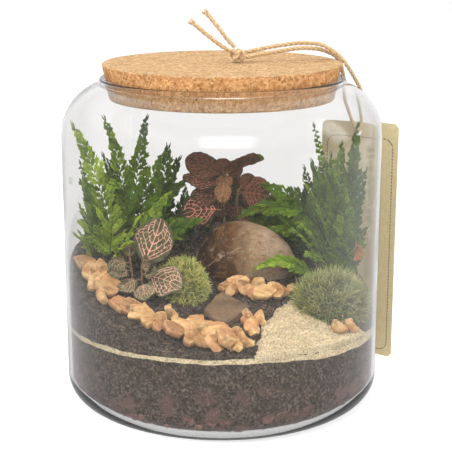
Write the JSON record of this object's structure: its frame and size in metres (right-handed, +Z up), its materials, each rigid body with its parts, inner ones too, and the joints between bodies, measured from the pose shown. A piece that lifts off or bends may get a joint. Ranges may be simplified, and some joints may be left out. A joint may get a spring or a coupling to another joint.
{
  "type": "glass plant terrarium",
  "caption": "Closed glass jar with a cork stopper, planted with ferns, net-veined leaves and moss over soil, sand and pebbles; a card tag hangs from it by twine.",
  "frame": {"origin": "centre of the jar's flat base", "axes": "+Z up along the jar's axis, -Y towards the front, +X to the right as seen from the front, where the tag hangs"},
  "size_m": [0.2502, 0.23, 0.282],
  "materials": {
    "glass": "clear",
    "cork": "matt, speckled",
    "pebbles": "matt, fired clay",
    "soil": "matt, crumbly",
    "sand": "matt, grainy",
    "rock": "smooth, dull",
    "slate": "rough, dull",
    "bark": "matt",
    "moss": "matt",
    "fern": "satin",
    "netleaf": "satin, pink veins",
    "netleaf_dark": "satin, pink veins",
    "twine": "matt, hairy",
    "card": "matt"
  },
  "bodies": {
    "root": {"boulder": "rock", "card_tag": "card", "chip_right": "bark", "chips_by_boulder": "bark", "chips_front": "bark", "chips_front_right": "bark", "chips_left_bank": "bark", "chips_left_trail": "bark", "cork_stopper": "cork", "drainage_pebbles": "pebbles", "fern_left_1": "fern", "fern_left_2": "fern", "fern_left_3": "fern", "fern_left_4": "fern", "fern_left_5": "fern", "fern_left_6": "fern", "fern_left_7": "fern", "fern_left_8": "fern", "fern_right_1": "fern", "fern_right_2": "fern", "fern_right_3": "fern", "fern_right_4": "fern", "fern_right_5": "fern", "fern_right_6": "fern", "fern_right_7": "fern", "fern_right_8": "fern", "fern_right_9": "fern", "flat_stone": "slate", "glass_jar": "glass", "moss_back": "moss", "moss_left": "moss", "moss_right": "moss", "netleaf_back_1": "netleaf_dark", "netleaf_back_2": "netleaf_dark", "netleaf_front_1": "netleaf", "netleaf_front_2": "netleaf", "sand_layer": "sand", "soil_lower": "soil", "soil_upper": "soil", "twine_knot": "twine", "twine_loop": "twine", "twine_tail_long": "twine", "twine_tail_short": "twine"}
  },
  "joints": []
}
